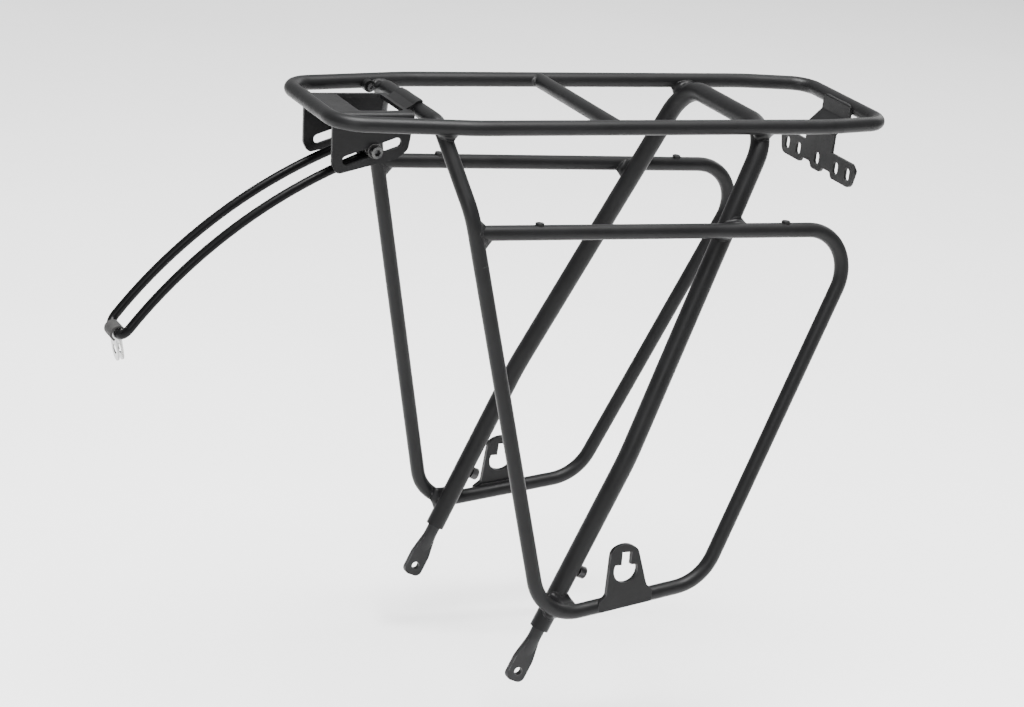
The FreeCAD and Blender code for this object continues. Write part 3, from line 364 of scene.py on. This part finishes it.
class Tube:
    """A round tube: its centre line and its radius."""

    def __init__(self, line, radius):
        self.line = np.array(line, float)
        self.radius = radius

    def foot(self, place):
        """Nearest point of the centre line, and the line's direction there."""
        start, run = self.line[:-1], np.diff(self.line, axis=0)
        share = np.clip(((place - start) * run).sum(1) / (run * run).sum(1), 0, 1)
        feet = start + run * share[:, None]
        best = np.linalg.norm(place - feet, axis=1).argmin()
        return feet[best], unit(run[best])

    def clear(self, place, ball):
        """How far a ball's surface is from touching the tube, with the ball centred on a place."""
        return np.linalg.norm(place - self.foot(place)[0]) - self.radius - ball


# ---------------------------------------------------------------------------
# Welds
# ---------------------------------------------------------------------------
RIPPLE_PITCH = 1.5     # from one ripple of a weld to the next
RIPPLE_HEIGHT = 0.3
FILLET_STEPS = 5       # rings to a ripple of a fillet
FACE_STEPS = 8         # spans across a fillet's face
CROWN = 0.12           # how far a fillet's middle stands proud, as a share of its ball
EDGE_SINK = 0.2        # how far a fillet's edges run on into the tubes
BACK_DEPTH = 0.6       # how deep a fillet's hidden back lies inside the tubes
WAVER = ((3, 0.05, 1.0), (7, 0.04, 0.4))  # waves to a turn, share of the size, phase
TEE_BITE = 0.86        # where the ball touches a branch that ends at the joint, as a share of its radius
MEETING_TRIES = 40     # for the nearest points of two centre lines
BALL_TRIES = 12        # for the place of a ball that touches two tubes
NUDGE = 0.001          # the small move that shows how a ball's gaps change
LONGEST_MOVE = 2.0     # of a ball in one try
BEAD_STEPS = 6         # rings to a ripple of a bead
BEAD_CORNERS = 14
BEAD_RIPPLE = 0.13     # as a share of a bead's radius
BEAD_WAVER = (9, 0.05, 0.6)  # radians along a bead, share of its radius, phase
BEAD_FULLNESS = 10     # a higher power keeps a bead full until nearer its ends
BEAD_TIP = 0.02        # share of a bead's section that is left at its ends


def swept(name, rings, closed):
    """A closed surface through rings of points: joined end to end, or with a cap on each end."""
    count, size = len(rings), len(rings[0])
    vertices = [tuple(point * MM) for ring in rings for point in ring]
    faces = []
    for index in range(count if closed else count - 1):
        here, there = index * size, (index + 1) % count * size
        for step in range(size):
            ahead = (step + 1) % size
            faces.append((here + step, here + ahead, there + ahead, there + step))
    if not closed:
        for index, order in ((0, -1), (count - 1, 1)):
            vertices.append(tuple(np.mean(rings[index], axis=0) * MM))
            middle = len(vertices) - 1
            for step in range(size):
                pair = (index * size + step, index * size + (step + 1) % size)
                faces.append((*pair[::order], middle))
    mesh = bpy.data.meshes.new(name)
    mesh.from_pydata(vertices, [], faces)
    build = bmesh.new()
    build.from_mesh(mesh)
    bmesh.ops.recalc_face_normals(build, faces=build.faces)
    build.to_mesh(mesh)
    build.free()
    mesh.polygons.foreach_set("use_smooth", [True] * len(mesh.polygons))
    mesh.materials.append(FRAME_PAINT)
    item = bpy.data.objects.new(name, mesh)
    bpy.context.scene.collection.objects.link(item)
    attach(item, "frame")


def tee_ball(main, branch, base, out, away, ball):
    """Centre of a ball that rests on the main tube and bites a little into a branch ending there."""
    axis = main.foot(base)[1]
    reach = out * (TEE_BITE * branch.radius + ball)
    side = reach - axis * (axis @ reach)
    rise = away - axis * (axis @ away)
    square, slope = rise @ rise, side @ rise
    root = max(slope * slope - square * (side @ side - (main.radius + ball) ** 2), 0.0)
    return base + reach + away * (math.sqrt(root) - slope) / square


def crossing_ball(main, branch, base, out, away, ball, guess):
    """How far out and how high a ball sits that touches both tubes, found from a near guess."""
    def gaps(place):
        return np.array((main.clear(place, ball), branch.clear(place, ball)))

    reach, height = guess
    for _ in range(BALL_TRIES):
        place = base + out * reach + away * height
        here = gaps(place)
        changes = [gaps(place + direction * NUDGE) - here for direction in (out, away)]
        move = np.linalg.lstsq(np.array(changes).T / NUDGE, -here, rcond=None)[0]
        reach, height = np.array((reach, height)) + np.clip(move, -LONGEST_MOVE, LONGEST_MOVE)
    return reach, height


def fillet_ring(centre, size, tubes, wave):
    """One section of a fillet: its hollow face between the tubes, and its hidden back."""
    feet = [tube.foot(centre)[0] for tube in tubes]
    ends = [-unit(centre - foot) for foot in feet]
    opening = math.acos(max(min(float(ends[0] @ ends[1]), 1.0), -1.0))
    ring = [centre + ends[0] * (size + EDGE_SINK)]
    for step in range(FACE_STEPS + 1):
        share = step / FACE_STEPS
        spread = unit(ends[0] * math.sin((1 - share) * opening) + ends[1] * math.sin(share * opening))
        proud = math.sin(math.pi * share) * (CROWN * size + RIPPLE_HEIGHT * wave)
        ring.append(centre + spread * (size - proud))
    ring.append(centre + ends[1] * (size + EDGE_SINK))
    deep = [foot - end * (tube.radius - BACK_DEPTH) for foot, end, tube in zip(feet, ends, tubes)]
    ring.append((deep[0] + deep[1]) / 2)
    return ring


def fillet_weld(name, main, branch, near, ball, tee=False):
    """A rippled weld all round the joint of two tubes, hollow as if a ball had rolled round it.

    tee is for a branch that ends at the main tube; otherwise the two tubes pass each other.
    """
    on_main = main.foot(np.array(near, float))[0]
    for _ in range(MEETING_TRIES):
        on_branch = branch.foot(on_main)[0]
        on_main = main.foot(on_branch)[0]
    if tee:
        away = branch.foot(on_branch)[1]
        away = away if away @ (branch.line[0] - on_main) > 0 else -away
        base = on_main
    else:
        away = unit(on_branch - on_main)
        base = on_main + away * main.radius
    first = unit(np.cross(away, main.foot(on_main)[1]))
    second = np.cross(away, first)
    ripples = round(2 * math.pi * (branch.radius + ball) / RIPPLE_PITCH)
    steps = ripples * FILLET_STEPS
    guess = (2 * math.sqrt(main.radius * ball), 0.0)
    rings = []
    for step in range(steps):
        angle = 2 * math.pi * step / steps
        size = ball * (1 + sum(share * math.sin(waves * angle + phase) for waves, share, phase in WAVER))
        out = first * math.cos(angle) + second * math.sin(angle)
        if tee:
            centre = tee_ball(main, branch, base, out, away, size)
        else:
            guess = crossing_ball(main, branch, base, out, away, size, guess)
            centre = base + out * guess[0] + away * guess[1]
        wave = 0.5 + 0.5 * math.cos(ripples * angle)
        rings.append(fillet_ring(centre, size, (main, branch), wave))
    swept(name, rings, closed=True)


def bead(name, start, finish, radius):
    """A straight rippled bead that tapers off at both ends."""
    start, finish = np.array(start, float), np.array(finish, float)
    run = finish - start
    along = unit(run)
    off_line = (0.31, 0.17, 0.93)  # any direction that no bead runs in
    side = unit(np.cross(along, off_line))
    up = np.cross(side, along)
    ripples = max(4, round(np.linalg.norm(run) / RIPPLE_PITCH))
    steps = ripples * BEAD_STEPS
    turns = [2 * math.pi * corner / BEAD_CORNERS for corner in range(BEAD_CORNERS)]
    waver_turns, waver_share, waver_phase = BEAD_WAVER
    rings = []
    for step in range(steps + 1):
        share = step / steps
        taper = math.sqrt(max(1 - abs(2 * share - 1) ** BEAD_FULLNESS, BEAD_TIP))
        ripple = BEAD_RIPPLE * math.cos(2 * math.pi * ripples * share)
        waver = waver_share * math.sin(waver_turns * share + waver_phase)
        size = radius * taper * (1 + ripple + waver)
        centre = start + run * share
        rings.append([centre + (side * math.cos(turn) + up * math.sin(turn)) * size for turn in turns])
    swept(name, rings, closed=False)


left_strut = [strut_point(STRUT_HALF, STRUT_FOOT_Z), strut_point(STRUT_HALF, STRUT_KNEE_Z),
              strut_point(STRUT_TOP_HALF, STRUT_TOP_Z)]
right_strut = [point * (1, -1, 1) for point in reversed(left_strut)]
strut_bends = (STRUT_KNEE_BEND, STRUT_TOP_BEND, STRUT_TOP_BEND, STRUT_KNEE_BEND)
strut_hoop = Tube(bent_line(left_strut + right_strut, strut_bends), STRUT_RADIUS)


def side_welds(name, side):
    """The welds of one side: its leg, pannier rail, deck rail, arch, crossbar and keyhole plate."""
    joint = np.array((JOINT_X, side * JOINT_HALF, JOINT_Z))
    leg_foot = loop_point(*LOOP_FRONT_BOTTOM, side)
    rail_rear = loop_point(*LOOP_REAR_TOP, side)
    leg = Tube([leg_foot, joint + (joint - leg_foot) * LEG_OVERRUN], TUBE_RADIUS)
    pannier_rail = Tube([rail_rear, joint + (joint - rail_rear) * RAIL_OVERRUN], TUBE_RADIUS)
    foot_corner = [joint, leg_foot, loop_point(*LOOP_REAR_BOTTOM, side)]
    foot_bend = Tube(bent_line(foot_corner, (LOOP_FRONT_BEND,)), TUBE_RADIUS)
    deck_rail = Tube([(DECK_REAR, side * DECK_REAR_HALF, DECK_Z), (RAIL_END, side * RAIL_HALF, DECK_Z),
                      (RAIL_START, side * RAIL_HALF, DECK_Z),
                      (DECK_FRONT, side * DECK_FRONT_HALF, DECK_Z)], TUBE_RADIUS)
    arch_corners = [arch_point(0, ARCH_CORNER_Z), arch_point(side * ARCH_CORNER_HALF, ARCH_CORNER_Z),
                    arch_point(side * ARCH_KNEE_HALF, ARCH_KNEE_Z)]
    arch = Tube(bent_line(arch_corners, (ARCH_BEND,)), TUBE_RADIUS)
    crossbar_end = (CROSSBAR_X, side * RAIL_HALF, DECK_Z)
    crossbar = Tube([(CROSSBAR_X, 0, DECK_Z), crossbar_end], TUBE_RADIUS)

    fillet_weld(name + "_rail_leg_weld", leg, pannier_rail, near=joint, ball=5.2, tee=True)
    fillet_weld(name + "_arch_deck_weld", deck_rail, arch, near=(82, side * 55, 366), ball=2.8)
    fillet_weld(name + "_hoop_deck_weld", deck_rail, strut_hoop, near=(-152, side * 56, 366), ball=3.0)
    fillet_weld(name + "_hoop_rail_weld", pannier_rail, strut_hoop, near=(-126, side * 72, 304), ball=3.4)
    fillet_weld(name + "_hoop_foot_weld", foot_bend, strut_hoop, near=(-20, side * 94, 48), ball=4.6)
    fillet_weld(name + "_crossbar_weld", deck_rail, crossbar, near=crossbar_end, ball=2.6, tee=True)

    offset = loop_out(side) * PLATE_BEAD_OUT + (0, 0, PLATE_BEAD_RISE)
    bead(name + "_plate_weld", loop_point(*PLATE_REAR, side) + offset,
         loop_point(*PLATE_FRONT, side) + offset, radius=1.5)


for name, side in (("left", 1), ("right", -1)):
    side_welds(name, side)

# the straight beads across the brackets: x, half the length, z and radius
BRACKET_BEADS = {
    "light_bracket_top_weld": (-240.7, 16.5, 370.7, 1.2),
    "light_bracket_low_weld": (-241.9, 17.0, 365.3, 1.3),
    "stay_bracket_nose_top_weld": (147.2, 24.0, 370.6, 1.4),
    "stay_bracket_nose_low_weld": (146.9, 24.0, 366.3, 1.4),
    "stay_bracket_wrap_weld": (81.6, 15.0, 373.7, 1.0),
}
for name, (x, half, z, radius) in BRACKET_BEADS.items():
    bead(name, (x, -half, z), (x, half, z), radius)


# ---------------------------------------------------------------------------
# Floor, lights, camera
# ---------------------------------------------------------------------------
low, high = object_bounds()
centre = (Vector(low) + Vector(high)) / 2

FLOOR_SIZE = 12.0
FLOOR_DROP = 0.042  # leaves room for both feet at full reach
floor_mesh = bpy.data.meshes.new("floor")
build = bmesh.new()
bmesh.ops.create_grid(build, x_segments=4, y_segments=4, size=FLOOR_SIZE / 2)
build.to_mesh(floor_mesh)
build.free()
floor_mesh.materials.append(pale_floor("floor_pale"))
floor = bpy.data.objects.new("floor", floor_mesh)
floor.location = (0.0, 0.0, low[2] - FLOOR_DROP)
bpy.context.scene.collection.objects.link(floor)


def softbox(name, place, width, height, power):
    """A rectangular light of so many watts, turned to the middle of the object."""
    light = bpy.data.lights.new(name, "AREA")
    light.shape = "RECTANGLE"
    light.size = width
    light.size_y = height
    light.energy = power
    item = bpy.data.objects.new(name, light)
    item.location = place
    item.rotation_euler = (centre - Vector(place)).to_track_quat("-Z", "Y").to_euler()
    bpy.context.scene.collection.objects.link(item)


softbox("softbox_top", place=(0.1, 0.3, 2.2), width=1.6, height=1.2, power=200.0)
softbox("softbox_near", place=(1.6, 2.2, 1.5), width=1.2, height=1.2, power=36.0)
softbox("softbox_rear", place=(-2.0, -1.2, 1.6), width=1.2, height=1.6, power=26.0)

WHITE = (1.0, 1.0, 1.0, 1.0)
WORLD_STRENGTH = 0.85
world = bpy.data.worlds.new("studio")
world.use_nodes = True
background = world.node_tree.nodes["Background"]
background.inputs["Color"].default_value = WHITE
background.inputs["Strength"].default_value = WORLD_STRENGTH
bpy.context.scene.world = world

CAMERA_PLACE = Vector((0.8144, 1.5843, 0.8063))
AZIMUTH, ELEVATION, ROLL = math.radians(152.447), math.radians(18.918), math.radians(7.10)
LENS, SENSOR_WIDTH = 98.14, 36.0
FAR_LIMIT = 50.0
back = Vector((math.sin(AZIMUTH) * math.cos(ELEVATION), -math.cos(AZIMUTH) * math.cos(ELEVATION),
               math.sin(ELEVATION)))
right = Vector((math.cos(AZIMUTH), math.sin(AZIMUTH), 0.0))
up = back.cross(right)
rolled_right = right * math.cos(ROLL) + up * math.sin(ROLL)
rolled_up = up * math.cos(ROLL) - right * math.sin(ROLL)
camera_data = bpy.data.cameras.new("camera")
camera_data.lens = LENS
camera_data.sensor_width = SENSOR_WIDTH
camera_data.clip_end = FAR_LIMIT
camera = bpy.data.objects.new("camera", camera_data)
turn = Matrix((rolled_right, rolled_up, back)).transposed()
camera.matrix_world = Matrix.Translation(CAMERA_PLACE) @ turn.to_4x4()
bpy.context.scene.collection.objects.link(camera)
bpy.context.scene.camera = camera
